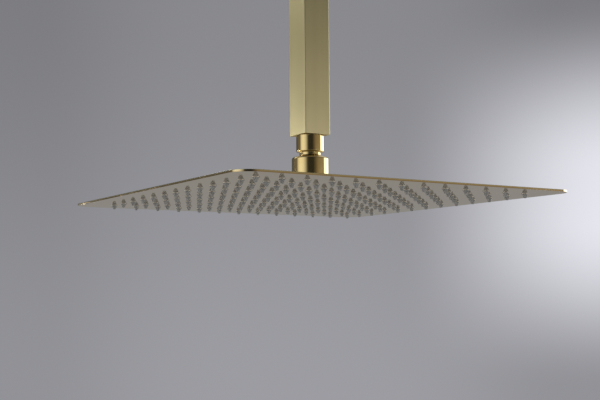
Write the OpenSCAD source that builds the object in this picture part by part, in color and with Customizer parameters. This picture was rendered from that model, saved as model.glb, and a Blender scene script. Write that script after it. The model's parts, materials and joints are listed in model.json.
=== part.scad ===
// Square rainfall shower head that hangs from a ceiling on a square drop arm, with a ball joint between them.
// Millimetres, Z up. z = 0 is the ceiling plane: the inlet thread stands above it and the rest hangs below.

/* [Head] */
// Width of the square head
head_w = 305; // [240:1:400]
// Thickness of each of the two welded sheets
sheet_t = 0.8; // [0.6:0.05:1]
// Radius of the head's corners
corner_r = 15; // [8:0.5:24]
// Width of the flat rim outside the water chamber
rim_w = 20; // [16:0.5:30]
// Height of the chamber's roof at its edge, over the spray face
roof_edge_h = 3.8; // [3.4:0.1:6]
// Height of the chamber's roof at its centre, over the spray face
roof_mid_h = 8; // [6.5:0.1:12]
// Width of the flat pad at the top of the roof
roof_pad_w = 50; // [42:1:70]
// Diameter of the posts that tie the roof to the spray face
post_d = 4; // [3:0.1:6]

/* [Nozzles] */
// Distance between neighbouring nozzles
nozzle_pitch = 20.8; // [16:0.1:30]
// Radius of a nozzle where it passes through the spray face
nozzle_r = 2.35; // [2:0.05:3.2]
// How far the pressed rim round a nozzle stands out of the spray face
nozzle_rim_h = 0.45; // [0.3:0.05:0.9]
// Wall of that rim
nozzle_rim_wall = 0.35; // [0.3:0.05:0.6]
// How far a nozzle stands out of the spray face
nozzle_h = 3.6; // [2.5:0.1:5]
// Radius of a nozzle's tip
nozzle_tip_r = 1.15; // [0.9:0.05:1.5]
// Radius of the jet hole in a nozzle's tip
jet_r = 0.5; // [0.3:0.05:0.7]
// Thickness of the silicone mat that carries the nozzles
mat_t = 1; // [0.8:0.05:1.2]

/* [Arm] */
// Width of the square arm
arm_w = 25; // [24:0.5:36]
// Wall of the square arm
arm_wall = 1.5; // [1:0.1:1.6]
// Distance from the ceiling to the arm's lower end
arm_drop = 300; // [120:5:600]
// Radius of the arm's long edges
arm_edge_r = 0.7; // [0.3:0.1:1.4]
// Length of the plug in each end of the arm
plug_l = 22; // [18:1:40]

/* [Threads] */
// Radius of the half inch pipe thread, over its crests
half_inch_r = 10.48; // [10.48:0.01:10.6]
// Radius of the three eighths pipe thread, over its crests
three_eighths_r = 8.33; // [8.2:0.01:8.4]
// Length of the inlet thread above the ceiling plane
inlet_l = 15; // [10:1:25]
// Length of the threads that screw into the arm's plugs
plug_thread_l = 11; // [8:1:14]
// Radius of the water passage in the nipples
nipple_bore_r = 5.5; // [4:0.1:5.8]

/* [Swivel] */
// Wall of the socket that screws onto the arm
socket_wall = 1.2; // [1:0.1:3]
// Height of the socket
socket_h = 14.4; // [12:0.1:20]
// Floor of the socket
socket_floor = 2; // [1.5:0.1:3]
// Radius of the neck between the socket and the ball
neck_r = 9; // [8:0.1:11]
// Length of neck that shows over the collar
neck_show = 3.5; // [2.8:0.1:6]
// Steepest tilt of the head, where the neck meets the collar's mouth
tilt_max = 15; // [11:0.5:18]
// Travel of each of the two tilt axes, either way
tilt_axis = 10.5; // [7:0.5:12]
// Height of the collar's mouth over the ball's centre
mouth_h = 7.6; // [7.2:0.1:10]
// How much larger the ball is than the mouth, in radius
ball_hold = 0.9; // [0.7:0.05:1.5]
// Radius of the water passage through the ball
ball_bore_r = 4.5; // [3.5:0.1:4.8]
// Wall of the collar's skirt
collar_wall = 1.45; // [1.2:0.05:3]
// Height of the swivel base over the roof
base_h = 19.2; // [16.8:0.1:26]
// Thickness of the plastic seat ring under the ball
seat_t = 0.85; // [0.7:0.05:1.2]

/* [Ceiling fixing] */
// Width of the square fixing plate
plate_w = 66; // [58:1:90]
// Thickness of the fixing plate
plate_t = 6; // [5.4:0.1:9]
// Radius of the fixing plate's corners
plate_corner_r = 6; // [3:0.5:10]
// Radius of the four screw holes
screw_r = 2.3; // [1.8:0.05:2.8]
// Distance of the screw holes from the plate's edges
screw_inset = 9; // [7:0.5:12]
// Wall of the ceiling cover
cover_wall = 1.5; // [1.2:0.1:2.5]
// Height of the ceiling cover
cover_h = 12; // [11.6:0.1:20]

/* [Hidden] */
$fn = 64;

// Colours
satin_gold = [0.73, 0.67, 0.5];
turned_gold = [0.74, 0.6, 0.34];
face_gold = [0.66, 0.62, 0.56];
bare_brass = [0.78, 0.62, 0.33];
steel = [0.72, 0.73, 0.74];
silicone = [0.72, 0.72, 0.69];
black_rubber = [0.08, 0.08, 0.085];
white_plastic = [0.92, 0.91, 0.88];
green_plastic = [0.25, 0.55, 0.42];

eps = 0.01;           // how far a cut runs past the face that it opens
thread_gap = 0.07;    // between a thread's crests and the bore that it screws into
thread_chamfer = 0.8; // at the end of a half inch thread
slip_gap = 0.05;      // between fixed pieces that are pushed together
ball_gap = 0.08;      // between the ball and the rings that it turns in
joint_gap = 0.3;      // between the arm's end and the socket

// Ceiling fixing
collar_r = half_inch_r + 2.5;         // the inlet nipple's collar
collar_t = 3;
plate_seat_d = 1.5;                   // recess that stops the arm from turning
arm_top_z = plate_seat_d - plate_t;
screw_head_r = 2 * screw_r;
screw_at = plate_w / 2 - screw_inset;
cover_gap = 1;                        // between the fixing plate and the cover
cover_w = plate_w + 2 * (cover_gap + cover_wall);
cover_corner_r = plate_corner_r + cover_gap + cover_wall;
cover_chamfer = 0.8;
cover_slide_gap = 0.3;                // between the cover and the arm
grip_grip = 1.7;                      // depth of the groove for the grip ring
grip_t = 2;                           // height of that groove
grip_lip = 0.6;                       // wall under and over the groove
grip_wall = 1.5;                      // wall behind the groove
grip_h = grip_t + 2 * grip_lip;       // height of the cover's inner neck

// Arm
arm_bore_w = arm_w - 2 * arm_wall;
hex_across = 2 * nipple_bore_r + 1;   // key socket in the nipples
hex_d = 6;
arm_ring_r = 0.9;                     // section of the O-rings in the arm's plugs
arm_ring_mid_r = three_eighths_r + slip_gap + arm_ring_r;
plug_water_r = 6;
arm_bore_corner_r = 0.5;              // inside corners of the arm

// Swivel, from the arm's end down
socket_r = half_inch_r + socket_wall;
socket_top_z = -arm_drop - joint_gap;
socket_low_z = socket_top_z - socket_h;
floor_z = socket_low_z + socket_floor;
washer_t = 2;
screen_t = 0.4;
outlet_l = -arm_drop - floor_z - washer_t - screen_t;
restrictor_r = neck_r - 2.5;
restrictor_h = 4.4;
restrictor_ring_r = 0.75;             // section of the restrictor's O-ring
restrictor_ring_z = floor_z - restrictor_h / 2;
mouth_z = socket_low_z - neck_show;
ball_z = mouth_z - mouth_h;
neck_gap = 0.25;                                 // between the neck and the mouth at the steepest tilt
lip_gap = 0.1;                                   // between the ball and the collar's lip
mouth_r = neck_r / cos(tilt_max) + mouth_h * tan(tilt_max) + neck_gap;
ball_r = mouth_r + ball_hold;
lip_h = sqrt(pow(ball_r + ball_gap, 2) - pow(mouth_r - lip_gap, 2));
cup_r = ball_r + ball_gap + seat_t + ball_gap;   // spherical cup in the swivel base
cup_rim = 0.5;                                   // the base's wall round the cup's widest place
base_r = cup_r + cup_rim;                        // the base's thread, over its crests
swivel_collar_r = base_r + thread_gap + collar_wall;
base_top_h = -1.5;                               // the base's top, over the ball's centre
friction_from_h = 0.45;                          // the friction ring's lower side, over the ball's centre
seat_from = 10;                                  // the seat ring, in degrees under the ball's equator
seat_to = 28;
cup_to = seat_to + tilt_axis + 1.5;
seal_at = cup_to + 9;                            // where the seal touches the ball
seal_r = 1.2;                                    // section of the seal
seal_mid = ball_r + slip_gap + seal_r;
base_water_r = ball_bore_r + 1.7;
base_flange_r = base_r + 5;
base_flange_t = 3;
base_spigot_r = base_water_r + 1.3;

// Head, from the roof down
roof_z = ball_z + base_top_h - base_h;
face_z = roof_z - roof_mid_h;                    // the spray face's lower side
chamber_w = head_w - 2 * rim_w;
chamber_corner_r = 10;
mat_gap = 1.5;
mat_w = chamber_w - 2 * (sheet_t + mat_gap);
nozzle_hole_r = nozzle_r + slip_gap;
nozzle_edge = 2.4;                               // least sheet between the last nozzle and the mat's edge
nozzle_n = floor((mat_w - 2 * (nozzle_r + nozzle_edge)) / nozzle_pitch) + 1;
nozzle_first = -(nozzle_n - 1) * nozzle_pitch / 2;
post_every = 3;                                  // nozzle pitches from post to post
post_near = nozzle_n % 2 == 1 ? 1.5 : 1;         // nozzle pitches from the middle to the first post
post_r = post_d / 2;

// Places of the nozzles, and of the posts between them, in one row
nozzle_row = [for (i = [0 : nozzle_n - 1]) nozzle_first + i * nozzle_pitch];
post_row = [for (side = [-1, 1], i = [post_near : post_every : nozzle_n / 2 - 1]) side * i * nozzle_pitch];

// Height of the roof's inner side over the spray face, at a distance from the middle
function under_roof(x) =
    let (pad = roof_pad_w / 2, edge = chamber_w / 2 + sheet_t - roof_edge_h,
         slope = (roof_mid_h - roof_edge_h) / (edge - pad))
    roof_mid_h - sheet_t - max(0, x - pad) * slope;

// The posts stand clear of the water inlet
function is_post(x, y) = norm([x, y]) > base_flange_r + post_d;

// Square with round corners
module round_square(w, r) {
    square([w, w - 2 * r], center = true);
    square([w - 2 * r, w], center = true);
    for (x = [-1, 1], y = [-1, 1])
        translate([x * (w / 2 - r), y * (w / 2 - r)]) circle(r);
}

// Square block with round upright edges
module block(w, r, low, high) {
    translate([0, 0, low]) linear_extrude(high - low) round_square(w, r);
}

// Round bar between two heights
module bar(r, low, high) {
    translate([0, 0, low]) cylinder(r = r, h = high - low);
}

// Cone between two heights
module taper(r_low, r_high, low, high) {
    translate([0, 0, low]) cylinder(r1 = r_low, r2 = r_high, h = high - low);
}

// Ring with a round section
module o_ring(mid_r, section_r, z) {
    translate([0, 0, z]) rotate_extrude() translate([mid_r, 0]) circle(section_r);
}

// The part of a ball about the joint's centre that lies between two heights over that centre
module ball_zone(r, low, high) {
    translate([0, 0, ball_z]) intersection() {
        sphere(r);
        bar(r + 1, low, high);
    }
}

module ceiling_plate() {
    color(steel) difference() {
        block(plate_w, plate_corner_r, -plate_t, 0);
        bar(collar_r + slip_gap, -collar_t, eps);
        bar(three_eighths_r + thread_gap, -plate_t - eps, eps);
        block(arm_w + 2 * slip_gap, arm_edge_r + slip_gap, -plate_t - eps, arm_top_z);
        for (x = [-1, 1], y = [-1, 1]) translate([x * screw_at, y * screw_at, 0]) {
            bar(screw_r, -plate_t - eps, eps);
            taper(screw_head_r + eps, screw_r, -plate_t - eps, screw_head_r - screw_r - plate_t);
        }
    }
}

// Thread at both ends: half inch from z = 0 towards +Z, and three eighths below. The neck runs through what it clamps.
module nipple(half_inch_l, neck_l) {
    difference() {
        union() {
            taper(half_inch_r, half_inch_r - thread_chamfer, half_inch_l - thread_chamfer, half_inch_l);
            bar(half_inch_r, 0, half_inch_l - thread_chamfer);
            bar(three_eighths_r, -neck_l - plug_thread_l, 0);
        }
        bar(nipple_bore_r, -neck_l - plug_thread_l - eps, half_inch_l + eps);
        translate([0, 0, half_inch_l - hex_d])
            cylinder(r = hex_across / 2 / cos(30), h = hex_d + eps, $fn = 6);
    }
}

module inlet_nipple() {
    color(bare_brass) union() {
        nipple(inlet_l, -arm_top_z);
        difference() {
            bar(collar_r, -collar_t, 0);
            bar(nipple_bore_r, -collar_t - eps, eps);
        }
    }
}

module outlet_nipple() {
    color(bare_brass) translate([0, 0, -arm_drop]) mirror([0, 0, 1]) nipple(outlet_l, 0);
}

// Plug that fills the arm's upper end. Its mouth, at z = 0, has a seat for an O-ring.
module arm_plug() {
    ring_d = 2 * arm_ring_r;
    difference() {
        block(arm_bore_w - 2 * slip_gap, arm_bore_corner_r, -plug_l, 0);
        bar(three_eighths_r + thread_gap, -plug_thread_l - 1, eps);
        bar(arm_ring_mid_r + arm_ring_r + slip_gap, -ring_d, eps);
        bar(plug_water_r, -plug_l - eps, eps);
    }
}

module arm_top_plug() {
    color(bare_brass) translate([0, 0, arm_top_z]) arm_plug();
}

module arm_bottom_plug() {
    color(bare_brass) translate([0, 0, -arm_drop]) mirror([0, 0, 1]) arm_plug();
}

module inlet_o_ring() {
    color(black_rubber) o_ring(arm_ring_mid_r, arm_ring_r, arm_top_z - arm_ring_r);
}

module outlet_o_ring() {
    color(black_rubber) o_ring(arm_ring_mid_r, arm_ring_r, -arm_drop + arm_ring_r);
}

module arm_tube() {
    color(satin_gold) difference() {
        block(arm_w, arm_edge_r, -arm_drop, arm_top_z);
        block(arm_bore_w, arm_bore_corner_r, -arm_drop - eps, arm_top_z + eps);
    }
}

module ceiling_cover() {
    hole_w = arm_w + 2 * cover_slide_gap;
    hole_r = arm_edge_r + cover_slide_gap;
    groove_w = hole_w + 2 * grip_grip;
    neck_w = groove_w + 2 * grip_wall;
    neck_corner_r = 3;
    floor_top = -cover_h + cover_wall;
    groove_z = -cover_h + grip_lip;
    color(satin_gold) difference() {
        union() {
            difference() {
                block(cover_w, cover_corner_r, -cover_h + cover_chamfer, 0);
                block(cover_w - 2 * cover_wall, cover_corner_r - cover_wall, floor_top, eps);
            }
            block(cover_w - 2 * cover_chamfer, cover_corner_r - cover_chamfer,
                  -cover_h, -cover_h + cover_chamfer);
            block(neck_w, neck_corner_r, -cover_h, -cover_h + grip_h);
        }
        block(hole_w, hole_r, -cover_h - eps, eps);
        block(groove_w, hole_r + grip_grip, groove_z, groove_z + grip_t);
    }
}

module cover_grip_ring() {
    outer_w = arm_w + 2 * (cover_slide_gap + grip_grip - slip_gap);
    low = -cover_h + grip_lip + slip_gap;
    color(black_rubber) difference() {
        block(outer_w, arm_edge_r + cover_slide_gap + grip_grip, low, low + grip_t - 2 * slip_gap);
        block(arm_w + 2 * slip_gap, arm_edge_r + slip_gap, low - eps, low + grip_t);
    }
}

module ball_stem() {
    rim = 0.3;
    foot = 0.8;
    color(turned_gold) difference() {
        union() {
            taper(socket_r, socket_r - rim, socket_top_z - rim, socket_top_z);
            bar(socket_r, socket_low_z + foot, socket_top_z - rim);
            taper(socket_r - foot, socket_r, socket_low_z, socket_low_z + foot);
            bar(neck_r, ball_z, socket_low_z);
            translate([0, 0, ball_z]) sphere(ball_r);
        }
        bar(half_inch_r + thread_gap, floor_z, socket_top_z + eps);
        bar(restrictor_r + slip_gap, floor_z - restrictor_h, floor_z + eps);
        bar(ball_bore_r, ball_z - ball_r - eps, floor_z);
    }
}

module inlet_washer() {
    color(black_rubber) difference() {
        bar(half_inch_r, floor_z + screen_t, floor_z + screen_t + washer_t);
        bar(nipple_bore_r + 0.5, floor_z, floor_z + screen_t + washer_t + eps);
    }
}

// Perforated disc: the holes stand on rings about the centre
module filter_screen() {
    rings = 3;
    ring_pitch = 1.5;
    hole_r = 0.5;
    side_gap = 0.2;
    color(steel) difference() {
        bar(half_inch_r - side_gap, floor_z, floor_z + screen_t);
        for (ring = [0 : rings], i = [0 : max(0, 6 * ring - 1)])
            rotate(60 * i / max(1, ring))
                translate([ring_pitch * ring, 0, 0]) bar(hole_r, floor_z - eps, floor_z + screen_t + eps);
    }
}

module flow_restrictor() {
    low = floor_z - restrictor_h + slip_gap;
    half_groove = restrictor_ring_r + slip_gap;
    jet_at = 2.4;
    jet_hole_r = 1.1;
    dish_r = 3.8;
    dish_d = 1.4;
    color(green_plastic) difference() {
        bar(restrictor_r, low, floor_z - slip_gap);
        difference() {
            bar(restrictor_r + 1, restrictor_ring_z - half_groove, restrictor_ring_z + half_groove);
            bar(restrictor_r - 2 * restrictor_ring_r, low - eps, floor_z);
        }
        for (i = [0 : 2]) rotate(120 * i) translate([jet_at, 0, 0]) bar(jet_hole_r, low - eps, floor_z);
        bar(dish_r, floor_z - dish_d, floor_z);
    }
}

module restrictor_o_ring() {
    color(black_rubber)
        o_ring(restrictor_r + slip_gap - restrictor_ring_r, restrictor_ring_r, restrictor_ring_z);
}

// Thin zone of a sphere just under the ball's equator
module seat_ring() {
    color(white_plastic) difference() {
        ball_zone(cup_r - ball_gap, -cup_r * sin(seat_to), -cup_r * sin(seat_from));
        translate([0, 0, ball_z]) sphere(ball_r + ball_gap);
    }
}

// Ring that carries the ball in the collar, over the ball's equator
module friction_ring() {
    color(white_plastic) difference() {
        bar(base_r, ball_z + friction_from_h, ball_z + lip_h - slip_gap);
        translate([0, 0, ball_z]) sphere(ball_r + ball_gap);
    }
}

module ball_seal() {
    color(black_rubber)
        o_ring(seal_mid * cos(seal_at), seal_r, ball_z - seal_mid * sin(seal_at));
}

module swivel_collar() {
    low = roof_z + base_flange_t + 0.5;
    chamfer = 0.4;
    shoulder_h = 2.1;
    shoulder_turn = 75;
    top_r = mouth_r + 0.3;
    // The shoulder is an arc that leaves the mouth level and meets the skirt
    drop = [for (a = [0 : 15 : shoulder_turn])
        [top_r + (swivel_collar_r - top_r) * sin(a) / sin(shoulder_turn),
         mouth_z - shoulder_h * (1 - cos(a)) / (1 - cos(shoulder_turn))]];
    color(turned_gold) difference() {
        rotate_extrude() polygon(concat(
            [[0, low], [swivel_collar_r - chamfer, low], [swivel_collar_r, low + chamfer]],
            [for (i = [len(drop) - 1 : -1 : 0]) drop[i]],
            [[0, mouth_z]]));
        bar(mouth_r, ball_z, mouth_z + eps);
        bar(base_r + thread_gap, low - eps, ball_z + lip_h);
    }
}

module swivel_base() {
    top_z = ball_z + base_top_h;
    chamfer = 0.8;
    color(turned_gold) difference() {
        union() {
            bar(base_r, roof_z, top_z);
            bar(base_flange_r, roof_z, roof_z + base_flange_t - chamfer);
            taper(base_flange_r, base_flange_r - chamfer,
                  roof_z + base_flange_t - chamfer, roof_z + base_flange_t);
            bar(base_spigot_r, roof_z - sheet_t, roof_z);
        }
        ball_zone(cup_r, -cup_r * sin(cup_to), cup_r);
        translate([0, 0, ball_z]) sphere(ball_r + 2 * ball_gap);
        o_ring(seal_mid * cos(seal_at), seal_r + slip_gap, ball_z - seal_mid * sin(seal_at));
        bar(base_water_r, roof_z - sheet_t - eps, ball_z);
    }
}

// Low square roof: a prism along Y, cut to the same outline along X. With a sheet's thickness as the inset it is
// the hollow under the roof, and reaches through the rim's sheet.
module roof(inset) {
    half = chamber_w / 2 - inset;
    step = roof_edge_h - 2 * sheet_t;
    outline = [
        [-half, -eps], [half, -eps],
        [half, 2 * sheet_t - inset],
        [half - step, roof_edge_h - inset],
        [roof_pad_w / 2, roof_mid_h - inset],
        [-roof_pad_w / 2, roof_mid_h - inset],
        [-half + step, roof_edge_h - inset],
        [-half, 2 * sheet_t - inset]
    ];
    translate([0, 0, face_z + sheet_t]) intersection() {
        rotate([90, 0, 0]) linear_extrude(chamber_w, center = true)
            polygon([for (p = outline) [p[0], p[1] - sheet_t]]);
        rotate([90, 0, 90]) linear_extrude(chamber_w, center = true)
            polygon([for (p = outline) [p[0], p[1] - sheet_t]]);
        block(2 * half, chamber_corner_r - inset, -inset, roof_mid_h);
    }
}

module top_shell() {
    color(satin_gold) difference() {
        union() {
            block(head_w, corner_r, face_z + sheet_t, face_z + 2 * sheet_t);
            roof(0);
        }
        roof(sheet_t);
        bar(base_spigot_r + slip_gap, face_z, roof_z + eps);
    }
}

// Sheet with a hole for each nozzle, drawn down to a low rim round it
module face_plate() {
    rim_z = face_z - nozzle_rim_h;
    color(face_gold) difference() {
        union() {
            block(head_w, corner_r, face_z, face_z + sheet_t);
            for (x = nozzle_row, y = nozzle_row)
                translate([x, y, 0]) bar(nozzle_hole_r + nozzle_rim_wall, rim_z, face_z + sheet_t / 2);
        }
        for (x = nozzle_row, y = nozzle_row)
            translate([x, y, 0]) bar(nozzle_hole_r, rim_z - eps, face_z + sheet_t + eps);
    }
}

// One hollow nozzle, from the mat's top down through the spray face to its tip
module nozzle() {
    top = sheet_t + mat_t;
    wall = 1;
    tip_round = 0.25;
    rotate_extrude($fn = 24) polygon([
        [jet_r, -nozzle_h], [nozzle_tip_r - tip_round, -nozzle_h], [nozzle_tip_r, tip_round - nozzle_h],
        [nozzle_r, -nozzle_rim_h], [nozzle_r, top], [nozzle_r - wall, top], [jet_r, wall - nozzle_h]
    ]);
}

module nozzle_mat() {
    color(silicone) translate([0, 0, face_z]) {
        difference() {
            block(mat_w, chamber_corner_r - sheet_t, sheet_t, sheet_t + mat_t);
            for (x = nozzle_row, y = nozzle_row)
                translate([x, y, 0]) bar(nozzle_r, sheet_t - eps, sheet_t + mat_t + eps);
            for (x = post_row, y = post_row)
                if (is_post(x, y))
                    translate([x, y, 0]) bar(post_r + 0.3, sheet_t - eps, sheet_t + mat_t + eps);
        }
        for (x = nozzle_row, y = nozzle_row) translate([x, y, 0]) nozzle();
    }
}

module stay_posts() {
    color(steel) for (x = post_row, y = post_row)
        if (is_post(x, y)) {
            top_z = face_z + under_roof(max(abs(x), abs(y)) + post_r);
            translate([x, y, 0]) bar(post_r, face_z + sheet_t, top_z);
        }
}

ceiling_plate();
inlet_nipple();
inlet_o_ring();
ceiling_cover();
cover_grip_ring();
arm_tube();
arm_top_plug();
arm_bottom_plug();
outlet_nipple();
outlet_o_ring();
ball_stem();
inlet_washer();
filter_screen();
flow_restrictor();
restrictor_o_ring();
seat_ring();
friction_ring();
ball_seal();
swivel_collar();
swivel_base();
top_shell();
face_plate();
nozzle_mat();
stay_posts();
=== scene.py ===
import json
import math

import bmesh
import bpy
from mathutils import Matrix, Vector


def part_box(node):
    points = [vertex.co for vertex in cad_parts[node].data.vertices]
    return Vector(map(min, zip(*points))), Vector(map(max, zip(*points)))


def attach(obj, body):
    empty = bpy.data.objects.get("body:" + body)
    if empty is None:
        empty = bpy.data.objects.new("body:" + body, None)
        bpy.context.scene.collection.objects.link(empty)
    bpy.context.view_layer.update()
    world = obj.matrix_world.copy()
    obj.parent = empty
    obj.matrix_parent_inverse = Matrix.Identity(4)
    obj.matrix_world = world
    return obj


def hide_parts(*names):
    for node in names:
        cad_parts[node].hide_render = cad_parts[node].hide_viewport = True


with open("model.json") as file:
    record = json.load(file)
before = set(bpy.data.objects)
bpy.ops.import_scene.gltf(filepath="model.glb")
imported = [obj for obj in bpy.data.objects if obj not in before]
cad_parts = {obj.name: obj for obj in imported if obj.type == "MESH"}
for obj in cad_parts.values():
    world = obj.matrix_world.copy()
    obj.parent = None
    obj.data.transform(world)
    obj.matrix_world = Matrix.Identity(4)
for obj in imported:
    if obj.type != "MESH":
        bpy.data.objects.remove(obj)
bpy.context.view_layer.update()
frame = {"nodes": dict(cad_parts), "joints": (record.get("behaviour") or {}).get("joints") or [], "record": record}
nodes = frame["nodes"]
mm = 0.001
sheet = 0.8 * mm                # both sheets of the head
upright = Vector((0, 0, 1))
print("frame loaded:", len(nodes), "nodes")


class Wire:  # one output socket, with arithmetic
    def __init__(self, look, socket):
        self.look = look
        self.socket = socket

    def math(self, operation, first, second):
        return self.look.node("ShaderNodeMath", {"operation": operation}, {0: first, 1: second})

    def __add__(self, other):
        return self.math("ADD", self, other)

    def __radd__(self, other):
        return self.math("ADD", other, self)

    def __sub__(self, other):
        return self.math("SUBTRACT", self, other)

    def __rsub__(self, other):
        return self.math("SUBTRACT", other, self)

    def __mul__(self, other):
        return self.math("MULTIPLY", self, other)

    def __truediv__(self, other):
        return self.math("DIVIDE", self, other)


class Look:  # one node tree, a material's or the world's
    def __init__(self, tree):
        self.tree = tree
        tree.nodes.clear()

    def node(self, kind, settings, values, output=0):
        made = self.tree.nodes.new(kind)
        for key, value in settings.items():
            if key == "stops":
                self.setStops(made.color_ramp, value)
            else:
                setattr(made, key, value)
        for key, value in values.items():
            if isinstance(value, Wire):
                self.tree.links.new(value.socket, made.inputs[key])
            else:
                made.inputs[key].default_value = value
        return Wire(self, made.outputs[output] if len(made.outputs) else None)

    def setStops(self, ramp, stops):
        while len(ramp.elements) < len(stops):
            ramp.elements.new(0.5)
        for element, (place, shade) in zip(ramp.elements, stops):
            element.position = place
            element.color = (*shade, 1)

    def split(self, vector):
        source = self.node("ShaderNodeSeparateXYZ", {}, {"Vector": vector}).socket.node
        return [Wire(self, socket) for socket in source.outputs]

    def blend(self, factor, low, high):
        return self.node("ShaderNodeMix", {"data_type": "RGBA"}, {0: factor, 6: low, 7: high}, output=2)

    def scale(self, vector, amount):
        return self.node("ShaderNodeVectorMath", {"operation": "SCALE"}, {0: vector, "Scale": amount})

    def sum(self, first, second):
        return self.node("ShaderNodeVectorMath", {"operation": "ADD"}, {0: first, 1: second})

    def ease(self, value, low, high, toLow=0.0, toHigh=1.0):
        inputs = {"Value": value, "From Min": low, "From Max": high, "To Min": toLow, "To Max": toHigh}
        return self.node("ShaderNodeMapRange", {"interpolation_type": "SMOOTHSTEP"}, inputs)

    def place(self, scale=(1, 1, 1)):
        coords = self.node("ShaderNodeTexCoord", {}, {}, output="Object")
        return self.node("ShaderNodeMapping", {}, {"Vector": coords, "Scale": scale})

    def noise(self, vector, scale, detail=2.0, rough=0.5):
        return self.node("ShaderNodeTexNoise", {},
                         {"Vector": vector, "Scale": scale, "Detail": detail, "Roughness": rough})

    def bump(self, height, strength, distance):
        return self.node("ShaderNodeBump", {}, {"Strength": strength, "Distance": distance, "Height": height})

    def surface(self, **values):
        named = {key.replace("_", " "): value for key, value in values.items()}
        shader = self.node("ShaderNodeBsdfPrincipled", {}, named)
        self.node("ShaderNodeOutputMaterial", {}, {"Surface": shader})


def newLook(name):
    material = bpy.data.materials.new(name)
    material.use_nodes = True
    return material, Look(material.node_tree)


def colour(red, green, blue):
    return (red, green, blue, 1)


def satinGold(name, grain, rough, spread, edge):  # brushed the way grain is small; edge picks out the edges
    material, look = newLook(name)
    fine = look.noise(look.place(grain), 1.0, 3.0, 0.65)
    broad = look.noise(look.place(tuple(part * 0.06 for part in grain)), 1.0, 2.0)
    cloud = look.noise(look.place(), 22.0, 2.0)
    tone = look.blend(look.ease(broad * 0.6 + cloud * 0.4, 0.32, 0.68),
                      colour(0.87, 0.765, 0.43), colour(0.93, 0.825, 0.475))
    facing = look.split(look.node("ShaderNodeNewGeometry", {}, {}, output="Normal"))
    flat = 1 - look.ease(edge(*facing), 0.1, 0.4)  # edges are polished and carry no brush marks
    look.surface(Base_Color=tone, Metallic=1.0, Anisotropic=spread,
                 Roughness=0.07 + (rough - 0.12 + fine * 0.08 + cloud * 0.04) * flat,
                 Normal=look.bump(fine * flat, 0.16, 0.05 * mm))
    return material


def polishedGold():
    material, look = newLook("polished_gold")
    rings = look.noise(look.place((40, 40, 5200)), 1.0, 2.0, 0.6)  # faint lathe marks round the axis
    smear = look.noise(look.place(), 95.0, 3.0)
    tone = look.blend(look.ease(smear, 0.35, 0.7), colour(0.82, 0.625, 0.265), colour(0.86, 0.67, 0.30))
    look.surface(Base_Color=tone, Metallic=1.0, Roughness=0.09 + look.ease(smear, 0.45, 0.75) * 0.05,
                 Coat_Weight=0.8, Coat_Roughness=0.06, Normal=look.bump(rings, 0.06, 0.02 * mm))
    return material


def mirrorSheet(rimTop):
    material, look = newLook("mirror_sheet")
    wipe = look.noise(look.place((9, 55, 9)), 1.0, 4.0, 0.6)  # dried water and wiping, hardly to be seen
    cloud = look.noise(look.place(), 11.0, 3.0)
    tone = look.blend(look.ease(cloud, 0.3, 0.7), colour(0.66, 0.50, 0.27), colour(0.69, 0.53, 0.30))
    height = look.split(look.place())[2]
    rim = look.ease(height, rimTop - 0.05 * mm, rimTop - 0.01 * mm, 1.0, 0.0)  # painted shade: the drawn rims round the nozzles are coloured a rougher neutral grey, standing in for the dark band of shadow where each nozzle meets the spray face
    tone = look.blend(rim, tone, colour(0.42, 0.42, 0.41))
    look.surface(Base_Color=tone, Metallic=1.0,
                 Roughness=0.045 + look.ease(wipe, 0.45, 0.8) * 0.06 + rim * 0.2,
                 Normal=look.bump(cloud, 0.05, 0.05 * mm))
    return material


def siliconeRubber():
    material, look = newLook("silicone")
    cloud = look.noise(look.place(), 420.0, 2.0)
    tone = look.blend(look.ease(cloud, 0.3, 0.7), colour(0.36, 0.36, 0.35), colour(0.45, 0.45, 0.44))
    look.surface(Base_Color=tone, Roughness=0.3 + cloud * 0.12, IOR=1.41, Subsurface_Weight=0.3,
                 Subsurface_Radius=(1, 0.95, 0.9), Subsurface_Scale=1.2 * mm,
                 Normal=look.bump(look.noise(look.place(), 2600.0, 2.0), 0.12, 0.02 * mm))
    return material


def machinedBrass():
    material, look = newLook("machined_brass")
    turned = look.noise(look.place((60, 60, 2600)), 1.0, 2.0, 0.7)
    stain = look.noise(look.place(), 130.0, 4.0)
    tone = look.blend(look.ease(stain, 0.4, 0.75), colour(0.72, 0.53, 0.23), colour(0.52, 0.35, 0.14))
    look.surface(Base_Color=tone, Metallic=1.0, Roughness=0.24 + stain * 0.16,
                 Normal=look.bump(turned, 0.25, 0.04 * mm))
    return material


def platedSteel():
    material, look = newLook("plated_steel")
    cells = look.node("ShaderNodeTexVoronoi", {}, {"Vector": look.place(), "Scale": 260.0}, output="Color")
    patch = look.node("ShaderNodeSeparateColor", {}, {"Color": cells})
    tone = look.blend(patch, colour(0.50, 0.51, 0.53), colour(0.66, 0.67, 0.68))
    look.surface(Base_Color=tone, Metallic=1.0, Roughness=0.3 + patch * 0.16,
                 Normal=look.bump(look.noise(look.place(), 900.0, 3.0), 0.12, 0.03 * mm))
    return material


def plainSteel():
    material, look = newLook("plain_steel")
    drawn = look.noise(look.place((2200, 300, 300)), 1.0, 2.0)
    tone = look.blend(drawn, colour(0.55, 0.55, 0.54), colour(0.66, 0.66, 0.65))
    look.surface(Base_Color=tone, Metallic=1.0, Roughness=0.22 + drawn * 0.14,
                 Normal=look.bump(drawn, 0.2, 0.03 * mm))
    return material


def blackRubber():
    material, look = newLook("black_rubber")
    dust = look.noise(look.place(), 900.0, 4.0, 0.6)
    tone = look.blend(look.ease(dust, 0.45, 0.8), colour(0.012, 0.012, 0.013), colour(0.035, 0.035, 0.036))
    look.surface(Base_Color=tone, Roughness=0.5 + dust * 0.25, IOR=1.5,
                 Normal=look.bump(dust, 0.2, 0.03 * mm))
    return material


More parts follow.
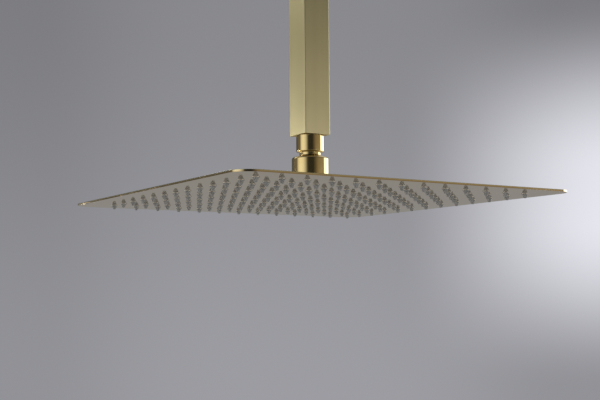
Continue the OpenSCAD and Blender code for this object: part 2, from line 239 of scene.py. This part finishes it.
def mouldedPlastic(name, low, high):
    material, look = newLook(name)
    skin = look.noise(look.place(), 700.0, 3.0)
    look.surface(Base_Color=look.blend(look.ease(skin, 0.3, 0.7), colour(*low), colour(*high)),
                 Roughness=0.34 + skin * 0.14, IOR=1.48, Normal=look.bump(skin, 0.12, 0.03 * mm))
    return material


looks = {
    "satin_gold": satinGold("satin_gold", (1300, 1300, 9), 0.42, 0.8, lambda x, y, z: x * x * y * y * 0.8),
    "gold_sheet": satinGold("gold_sheet", (9, 1300, 1300), 0.27, 0.0, lambda x, y, z: 1 - z * z),
    "polished_gold": polishedGold(),
    "mirror_sheet": mirrorSheet(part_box("face_plate")[1][2] - sheet),
    "silicone": siliconeRubber(),
    "bare_brass": machinedBrass(),
    "plated_steel": platedSteel(),
    "steel": plainSteel(),
    "black_rubber": blackRubber(),
    "white_acetal": mouldedPlastic("white_acetal", (0.72, 0.70, 0.65), (0.8, 0.785, 0.74)),
    "green_plastic": mouldedPlastic("green_plastic", (0.045, 0.22, 0.12), (0.06, 0.29, 0.16)),
}
for part in frame["record"]["subparts"]:
    mesh = nodes[part["node"]].data
    mesh.materials.clear()
    mesh.materials.append(looks[part["material_slot"]])
print("materials set:", len(looks))


def finish(name, bm, body, slotName, stands=(), crease=35):
    bmesh.ops.remove_doubles(bm, verts=bm.verts, dist=0.001 * mm)
    bmesh.ops.recalc_face_normals(bm, faces=bm.faces)
    mesh = bpy.data.meshes.new(name)
    bm.to_mesh(mesh)
    bm.free()
    mesh.shade_smooth()
    mesh.set_sharp_from_angle(angle=math.radians(crease))
    piece = bpy.data.objects.new(name, mesh)
    bpy.context.scene.collection.objects.link(piece)
    mesh.materials.append(looks[slotName])
    even = piece.modifiers.new("even", "WEIGHTED_NORMAL")  # broad faces stay flat beside their rounded edges
    even.keep_sharp = True
    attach(piece, body)
    if stands:
        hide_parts(*stands)
    return piece


def spinProfile(bm, points, steps=72, closed=True):  # points are (radius, height)
    verts = [bm.verts.new((radius, 0, height)) for radius, height in points]
    pairs = list(zip(verts, verts[1:]))
    if closed:
        pairs.append((verts[-1], verts[0]))
    edges = [bm.edges.new(pair) for pair in pairs]
    bmesh.ops.spin(bm, geom=verts + edges, cent=(0, 0, 0), axis=(0, 0, 1), dvec=(0, 0, 0),
                   angle=2 * math.pi, steps=steps, use_merge=True, use_duplicate=False)


def roundEdges(bm, edges, offset, segments=2):
    bmesh.ops.bevel(bm, geom=edges, offset=offset, offset_type="OFFSET", affect="EDGES", segments=segments,
                    profile=0.5, material=-1, clamp_overlap=True)


def softenEdges(bm, offset, least=30):  # rounds every edge that turns by more than least
    bmesh.ops.recalc_face_normals(bm, faces=bm.faces)
    roundEdges(bm, [edge for edge in bm.edges if len(edge.link_faces) == 2
                    and edge.calc_face_angle(0) > math.radians(least)], offset)


def squareRing(bm, half, radius, height, segments=6):  # a square loop of edges with round corners
    turned = Matrix.Translation((0, 0, height)) @ Matrix.Rotation(math.pi / 4, 4, "Z")
    made = bmesh.ops.create_circle(bm, cap_ends=True, segments=4, radius=half * math.sqrt(2), matrix=turned)
    rounded = bmesh.ops.bevel(bm, geom=made["verts"], offset=radius, affect="VERTICES", segments=segments,
                              profile=0.5, material=-1)
    edges = list({edge for vert in rounded["verts"] for edge in vert.link_edges})
    bmesh.ops.delete(bm, geom=list(edges[0].link_faces), context="FACES_ONLY")
    return edges


def joinLoops(bm, first, second):  # loops at one height may join crosswise, so one is lifted meanwhile
    level = abs(first[0].verts[0].co.z - second[0].verts[0].co.z) < 0.01 * mm
    lift = Vector((0, 0, 2 * mm if level else 0))
    verts = list({vert for edge in second for vert in edge.verts})
    bmesh.ops.translate(bm, verts=verts, vec=lift)
    bmesh.ops.bridge_loops(bm, edges=first + second)
    bmesh.ops.translate(bm, verts=verts, vec=-lift)


def squareLoft(bm, rings, segments=6, closed=True):  # rings are (half width, corner radius, height)
    loops = [squareRing(bm, half, radius, height, segments) for half, radius, height in rings]
    for low, high in zip(loops, loops[1:]):
        joinLoops(bm, low, high)
    if closed:
        joinLoops(bm, loops[-1], loops[0])
    return loops


armSize = {
    "wall": 1.5 * mm,
    "edge": 0.95 * mm,
    "innerEdge": 0.5 * mm,
    "endRound": 0.12 * mm,
}


def makeArm():
    size = armSize
    low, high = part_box("arm_tube")
    half = high[0]
    inner = half - size["wall"]
    bm = bmesh.new()
    squareLoft(bm, [(half, size["edge"], low[2]), (half, size["edge"], high[2]),
                    (inner, size["innerEdge"], high[2]), (inner, size["innerEdge"], low[2])])
    softenEdges(bm, size["endRound"], least=60)
    finish("armTube", bm, "arm", "satin_gold", ["arm_tube"])


coverSize = {
    "wall": 1.5 * mm,
    "corner": 8.5 * mm,
    "lowRound": 1.6 * mm,
    "endRound": 0.2 * mm,
    "hole": 12.8 * mm,      # half the arm's opening
    "holeCorner": 1.0 * mm,
    "groove": 1.7 * mm,
    "grooveLow": 0.6 * mm,
    "grooveHigh": 2.6 * mm,
    "neck": 1.5 * mm,       # wall behind the groove
    "neckCorner": 3 * mm,
    "neckHigh": 3.2 * mm,
}


def makeCover():
    size = coverSize
    low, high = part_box("ceiling_cover")
    half, base, top = high[0], low[2], high[2]
    hole, holeCorner = size["hole"], size["holeCorner"]
    groove, grooveCorner = hole + size["groove"], holeCorner + size["groove"]
    neck = groove + size["neck"]
    inner, innerCorner = half - size["wall"], size["corner"] - size["wall"]
    rounds = []
    for turn in (math.radians(15 * step) for step in range(7)):
        pull = size["lowRound"] * (1 - math.sin(turn))
        rounds.append((half - pull, size["corner"] - pull, base + size["lowRound"] * (1 - math.cos(turn))))
    bm = bmesh.new()
    squareLoft(bm, rounds + [
        (half, size["corner"], top), (inner, innerCorner, top), (inner, innerCorner, base + size["wall"]),
        (neck, size["neckCorner"], base + size["wall"]), (neck, size["neckCorner"], base + size["neckHigh"]),
        (hole, holeCorner, base + size["neckHigh"]), (hole, holeCorner, base + size["grooveHigh"]),
        (groove, grooveCorner, base + size["grooveHigh"]), (groove, grooveCorner, base + size["grooveLow"]),
        (hole, holeCorner, base + size["grooveLow"]), (hole, holeCorner, base)], segments=8)
    softenEdges(bm, size["endRound"], least=60)
    finish("ceilingCover", bm, "cover", "satin_gold", ["ceiling_cover"])


roofSize = {
    "corner": 15 * mm,
    "edgeRound": 0.15 * mm,
    "rim": 20 * mm,         # flat rim outside the chamber
    "chamberCorner": 10 * mm,
    "edgeHigh": 3.8 * mm,   # roof over the spray face at the chamber's edge
    "padHalf": 25 * mm,
    "padCorner": 8 * mm,
    "bend": 1.3 * mm,       # softness of the pressed bends
    "inlet": 7.55 * mm,
    "cornerSteps": 10,
}


def makeRoof():
    size = roofSize
    low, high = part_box("top_shell")
    half, face, top = high[0], low[2] - sheet, high[2]
    corner, wall = size["chamberCorner"], half - size["rim"]
    rise = size["edgeHigh"] - 2 * sheet
    shift = sheet * math.tan(math.radians(22.5))  # the underside's bends, where the sheet turns by 45 degrees
    upper = [(half, size["corner"], face + 2 * sheet), (wall, corner, face + 2 * sheet),
             (wall - rise, corner - rise, face + size["edgeHigh"]), (size["padHalf"], size["padCorner"], top)]
    under = [(out - shift * (0 < index < 3), radius - shift * (0 < index < 3), height - sheet)
             for index, (out, radius, height) in enumerate(upper)]
    bm = bmesh.new()
    skins = [squareLoft(bm, rings, size["cornerSteps"], closed=False) for rings in (upper, under)]
    bridged = []
    sides = 4 * (size["cornerSteps"] + 1)
    for loops, height in zip(skins, (top, top - sheet)):
        turned = Matrix.Translation((0, 0, height)) @ Matrix.Rotation(math.pi / sides, 4, "Z")
        hole = bmesh.ops.create_circle(bm, segments=sides, radius=size["inlet"], matrix=turned)
        rim = list({edge for vert in hole["verts"] for edge in vert.link_edges})
        joinLoops(bm, loops[-1], rim)
        bridged.append(rim)
    joinLoops(bm, bridged[0], bridged[1])
    joinLoops(bm, skins[0][0], skins[1][0])
    bmesh.ops.recalc_face_normals(bm, faces=bm.faces)
    roundEdges(bm, [edge for loops in skins for loop in loops[1:] for edge in loop], size["bend"], 4)
    roundEdges(bm, skins[0][0], size["edgeRound"])
    finish("roofSheet", bm, "head", "gold_sheet", ["top_shell"])


swivelSize = {               # heights are over the ball's centre
    "ball": 12.504 * mm,
    "bore": 4.5 * mm,
    "neck": 9 * mm,
    "socket": 11.68 * mm,
    "socketBore": 10.55 * mm,
    "socketLow": 11.1 * mm,
    "socketHigh": 25.5 * mm,
    "floor": 13.1 * mm,
    "foot": 0.8 * mm,
    "restrictor": 6.55 * mm,
    "pocket": 8.7 * mm,
    "collar": 15.534 * mm,
    "collarLow": -17.2 * mm,
    "thread": 14.084 * mm,
    "lip": 5.1 * mm,
    "mouth": 11.604 * mm,
    "mouthHigh": 7.6 * mm,
    "mouthFlat": 0.3 * mm,
    "shoulder": 2.1 * mm,
    "shoulderTurn": 75,      # degrees
    "edgeRound": 0.25 * mm,
}
ballCentre = Vector(next(joint["pos_m"] for joint in frame["joints"] if joint["name"] == "head_spin"))


def fromBall(points):
    return [(radius, ballCentre.z + height) for radius, height in points]


def makeStem():
    size = swivelSize
    start = -math.acos(size["bore"] / size["ball"])
    end = math.acos(size["neck"] / size["ball"])
    turns = [start + (end - start) * step / 22 for step in range(23)]
    arc = [(size["ball"] * math.cos(turn), size["ball"] * math.sin(turn)) for turn in turns]
    bm = bmesh.new()
    spinProfile(bm, fromBall(arc + [
        (size["neck"], size["socketLow"]), (size["socket"] - size["foot"], size["socketLow"]),
        (size["socket"], size["socketLow"] + size["foot"]), (size["socket"], size["socketHigh"]),
        (size["socketBore"], size["socketHigh"]), (size["socketBore"], size["floor"]),
        (size["restrictor"], size["floor"]), (size["restrictor"], size["pocket"]),
        (size["bore"], size["pocket"])]), steps=96)
    softenEdges(bm, size["edgeRound"])
    finish("ballStem", bm, "arm", "polished_gold", ["ball_stem"])


def makeCollar():
    size = swivelSize
    top = size["mouth"] + size["mouthFlat"]
    reach = math.radians(size["shoulderTurn"])
    shoulder = []
    for turn in (reach * step / 8 for step in range(8, -1, -1)):
        shoulder.append((top + (size["collar"] - top) * math.sin(turn) / math.sin(reach),
                         size["mouthHigh"] - size["shoulder"] * (1 - math.cos(turn)) / (1 - math.cos(reach))))
    bm = bmesh.new()
    spinProfile(bm, fromBall([(size["collar"], size["collarLow"])] + shoulder + [
        (size["mouth"], size["mouthHigh"]), (size["mouth"], size["lip"]), (size["thread"], size["lip"]),
        (size["thread"], size["collarLow"])]), steps=96)
    softenEdges(bm, size["edgeRound"])
    finish("swivelCollar", bm, "head", "polished_gold", ["swivel_collar"])


nozzleSize = {
    "pitch": 20.8 * mm,
    "count": 13,
    "sides": 12,
    "matRound": 0.25 * mm,
    "matCorner": 9.2 * mm,
    # radius and height over the spray face, from inside the jet hole round the tip to the mat
    "outline": [(0.5, -2.6), (0.5, -3.6), (1.0, -3.6), (1.15, -3.38), (2.35, -0.45), (2.35, 0.9)],
}


def makeNozzles():
    size = nozzleSize
    low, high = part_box("nozzle_mat")
    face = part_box("top_shell")[0][2] - sheet
    first = -(size["count"] - 1) / 2 * size["pitch"]
    bm = bmesh.new()
    spinProfile(bm, [(radius * mm, face + height * mm) for radius, height in size["outline"]],
                size["sides"], closed=False)
    bmesh.ops.holes_fill(bm, edges=[edge for edge in bm.edges if edge.is_boundary], sides=0)
    one = bm.verts[:] + bm.edges[:] + bm.faces[:]
    for row in range(size["count"]):
        for column in range(size["count"]):
            copied = bmesh.ops.duplicate(bm, geom=one)["geom"]
            bmesh.ops.translate(bm, verts=[part for part in copied if isinstance(part, bmesh.types.BMVert)],
                                vec=(first + column * size["pitch"], first + row * size["pitch"], 0))
    bmesh.ops.delete(bm, geom=[part for part in one if isinstance(part, bmesh.types.BMVert)], context="VERTS")
    finish("nozzles", bm, "head", "silicone", crease=50)

    bm = bmesh.new()
    half, corner = high[0], size["matCorner"]
    squareLoft(bm, [(half, corner, face + sheet), (half, corner, high[2])], closed=False)
    bmesh.ops.holes_fill(bm, edges=[edge for edge in bm.edges if edge.is_boundary], sides=0)
    softenEdges(bm, size["matRound"])
    finish("nozzleMat", bm, "head", "silicone", ["nozzle_mat"])


threadSize = {
    "crest": 10.48 * mm,
    "rootDrop": 1.16 * mm,   # depth of the thread
    "pitch": 1.814 * mm,     # fourteen turns to the inch
    "flank": 0.46,           # half a ridge's foot, in pitches
    "crestFlat": 0.08 * mm,
    "sunk": 0.15 * mm,       # how far the ridge's foot goes into the core
    "stepsPerTurn": 40,
    "smallCrest": 8.33 * mm,
    "bore": 5.5 * mm,
    "key": 6 * mm,           # half the key socket, and its depth
    "collar": 12.98 * mm,
    "collarHigh": 3 * mm,
    "edgeRound": 0.25 * mm,
    "endGap": 0.4 * mm,
    "seatGap": 0.1 * mm,
}


def addThread(bm, low, high):  # one ridge wound round a core, both ends inside it
    size = threadSize
    foot = size["crest"] - size["rootDrop"] - size["sunk"]
    half = size["pitch"] * size["flank"]
    crest, flat = size["crest"], size["crestFlat"]
    outline = [(foot, -half), (crest, -flat), (crest, flat), (foot, half)]
    steps = int((high - low - 2 * half) / size["pitch"] * size["stepsPerTurn"])
    verts = [bm.verts.new((radius, 0, low + half + height)) for radius, height in outline]
    start = bm.faces.new(verts)
    bmesh.ops.spin(bm, geom=[start], cent=(0, 0, 0), axis=(0, 0, 1), steps=steps, use_duplicate=False,
                   dvec=(0, 0, size["pitch"] / size["stepsPerTurn"]),
                   angle=2 * math.pi * steps / size["stepsPerTurn"])


def makeNipples():
    size = threadSize
    core = size["crest"] - size["rootDrop"]
    key, bore, small = size["key"], size["bore"], size["smallCrest"]

    low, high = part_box("inlet_nipple")  # thread up, collar in the ceiling plate, narrow thread down
    bm = bmesh.new()
    spinProfile(bm, [(core, 0), (core, high[2]), (key, high[2]), (key, high[2] - key), (bore, high[2] - key),
                     (bore, low[2]), (small, low[2]), (small, -size["collarHigh"]),
                     (size["collar"], -size["collarHigh"]), (size["collar"], 0)])
    softenEdges(bm, size["edgeRound"])
    addThread(bm, size["seatGap"], high[2] - size["endGap"])
    finish("inletNipple", bm, "arm", "bare_brass", ["inlet_nipple"])

    low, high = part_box("outlet_nipple")
    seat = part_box("arm_tube")[0][2]
    bm = bmesh.new()
    spinProfile(bm, [(core, seat), (core, low[2]), (key, low[2]), (key, low[2] + key), (bore, low[2] + key),
                     (bore, high[2]), (small, high[2]), (small, seat)])
    softenEdges(bm, size["edgeRound"])
    addThread(bm, low[2] + size["endGap"], seat - size["seatGap"])
    finish("outletNipple", bm, "arm", "bare_brass", ["outlet_nipple"])


makeArm()
makeCover()
makeRoof()
makeStem()
makeCollar()
makeNozzles()
makeNipples()
print("pieces made")

studio = {
    "floorZ": -2.35,        # the ceiling plane is z = 0
    "floorHalf": 9.0,
    "eyeTurn": 57.65,       # the way the camera looks, in degrees from +X towards +Y
    "eyePitch": 5.22,       # and upwards
    "eyeRoll": 0.45,
    "eyeBack": 2.82911,     # from the camera to the spray face's middle, in head widths
    "eyeSide": 0.02893,
    "eyeUnder": 0.25902,
    "lens": 61.72,
    "sensor": 36,
    "backdrop": (0.925, 0.925, 1.0),
    "backdropRise": (-0.1, 0.3, 0.31, 0.22),  # fades are from, to, and the level at each
    "middleFade": (0.0, 0.06, 0.05, 0.0),
    "poolHeight": 0.09,     # of the pool of light on the wall; heights are shares of the zenith's
    "poolWide": (-0.29, -0.09, 0.58, 0.0),
    "poolTall": (0.02, 0.18, 1.0, 0.0),
    "ceilingFade": (0.4, 0.85),
    "wallFade": (0.12, 0.4, 1.0, 0.1),
    "horizon": (-0.07, 0.03),
    "warmGreen": 0.14,      # what full warmth takes from green and from blue
    "warmBlue": 0.32,
    "floorGlow": 0.22,
    "ceiling": (0.1, 0.1, 0.1),
}
faceLow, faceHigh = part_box("face_plate")
headWidth = faceHigh[0] - faceLow[0]
faceZ = faceHigh[2] - sheet


def makeFloor():
    bpy.ops.mesh.primitive_plane_add(size=2 * studio["floorHalf"], location=(0, 0, studio["floorZ"]))
    floor = bpy.context.object
    floor.name = "floor"
    material, look = newLook("pale_floor")
    cloud = look.noise(look.place(), 1.3, 3.0)
    tone = look.blend(cloud, colour(0.8, 0.795, 0.79), colour(0.85, 0.845, 0.84))
    look.surface(Base_Color=tone, Roughness=0.75,
                 Emission_Color=colour(0.8, 0.8, 0.8), Emission_Strength=studio["floorGlow"])
    floor.data.materials.append(material)


def makeCamera():
    turn = math.radians(studio["eyeTurn"])
    pitch = math.radians(studio["eyePitch"])
    level = Vector((math.cos(turn), math.sin(turn), 0))
    right = level.cross(upright)
    ahead = level * math.cos(pitch) + upright * math.sin(pitch)
    back = (level * studio["eyeBack"] + right * studio["eyeSide"] + upright * studio["eyeUnder"]) * headWidth
    axes = Matrix((right, right.cross(ahead), -ahead)).transposed()
    roll = Matrix.Rotation(math.radians(-studio["eyeRoll"]), 3, "Z")
    data = bpy.data.cameras.new("camera")
    data.lens = studio["lens"]
    data.sensor_width = studio["sensor"]
    data.clip_start = 10 * mm
    camera = bpy.data.objects.new("camera", data)
    camera.matrix_world = Matrix.Translation(Vector((0, 0, faceZ)) - back) @ (axes @ roll).to_4x4()
    bpy.context.scene.collection.objects.link(camera)
    bpy.context.scene.camera = camera
    bpy.context.scene.view_settings.view_transform = "Standard"


def softbox(name, place, aim, width, height, power):
    data = bpy.data.lights.new(name, "AREA")
    data.shape = "RECTANGLE"
    data.size = width
    data.size_y = height
    data.energy = power
    lamp = bpy.data.objects.new(name, data)
    lamp.location = place
    lamp.rotation_euler = (Vector(aim) - Vector(place)).to_track_quat("-Z", "Y").to_euler()
    lamp.visible_camera = False
    bpy.context.scene.collection.objects.link(lamp)


# Brightness of the room's walls: (degrees to the left from the way the camera looks, brightness, warmth)
roomWall = [
    (-180, 0.03, 0), (-160, 0.03, 0), (-148, 0.1, 1), (-130, 0.22, 1), (-104, 0.28, 1), (-86, 0.3, 0.8),
    (-78, 2.1, -0.4), (-30, 2.1, -0.4), (-18, 0.3, 0), (0, 0.1, 0), (40, 0.08, 0), (70, 0.13, 0.4),
    (88, 0.15, 0.3), (103, 0.85, 0), (120, 1.0, 0), (137, 0.85, 0), (150, 0.5, 0), (163, 0.07, 0),
    (172, 0.03, 0),
]
# The same under the horizon, where the spray face looks
roomFloor = [
    (-180, 0.5, 0), (-125, 1.0, 0), (-85, 1.0, 0), (-45, 0.4, 0), (-28, 0.29, 0), (28, 0.29, 0),
    (45, 0.6, 0), (62, 1.1, 0), (95, 1.0, 0), (130, 0.8, 0), (180, 0.5, 0),
]
lamps = [  # name, place, aim, width, height, power
    ("overhead", (1.0, 1.3, 1.5), (0, 0, -0.4), 2.4, 2.4, 8),
    ("left_high", (-1.3, 2.05, 1.05), (0, 0, -0.2), 1.6, 0.6, 8.5),
    ("left_low", (-1.3, 2.05, -0.25), (0, 0, -0.25), 1.6, 0.15, 12),
    ("right_low", (1.3, -2.05, -0.25), (0, 0, -0.25), 1.6, 0.15, 2.2),
]


def makeRoom():
    world = bpy.data.worlds.new("room")
    world.use_nodes = True
    bpy.context.scene.world = world
    look = Look(world.node_tree)
    coords = look.node("ShaderNodeTexCoord", {}, {}, output="Generated")
    turned = look.node("ShaderNodeVectorRotate", {"rotation_type": "Z_AXIS"},
                       {"Vector": coords, "Angle": math.radians(-studio["eyeTurn"])})
    ahead, across, height = look.split(turned)
    angle = look.node("ShaderNodeMath", {"operation": "ARCTAN2"}, {0: across, 1: ahead})
    share = angle / (2 * math.pi) + 0.5

    def around(levels):
        peak = max(level for _, level, _ in levels)
        stops = []
        for degrees, level, warm in levels:
            red = level / peak
            shade = (red, red * (1 - studio["warmGreen"] * warm), red * (1 - studio["warmBlue"] * warm))
            stops.append(((degrees + 180) / 360, shade))
        return look.scale(look.node("ShaderNodeValToRGB", {"stops": stops}, {"Fac": share}), peak)

    wall = look.scale(around(roomWall), look.ease(height, *studio["wallFade"]))
    ceiling = look.scale(studio["ceiling"], look.ease(height, *studio["ceilingFade"]))
    over = look.ease(height, *studio["horizon"])
    glow = look.blend(over, around(roomFloor), look.sum(wall, ceiling))
    offset = look.node("ShaderNodeMath", {"operation": "ABSOLUTE"}, {0: height - studio["poolHeight"]})
    pool = look.ease(across, *studio["poolWide"]) * look.ease(offset, *studio["poolTall"])
    middle = look.ease(across * across, *studio["middleFade"])
    rise = look.ease(height, *studio["backdropRise"])
    seen = look.scale(studio["backdrop"], rise + middle + pool)
    direct = look.node("ShaderNodeLightPath", {}, {}, output="Is Camera Ray")
    shader = look.node("ShaderNodeBackground", {}, {"Color": look.blend(direct, glow, seen)})
    look.node("ShaderNodeOutputWorld", {}, {"Surface": shader})


makeFloor()
makeCamera()
makeRoom()
for lamp in lamps:
    softbox(*lamp)
print("stage, lights and camera set")
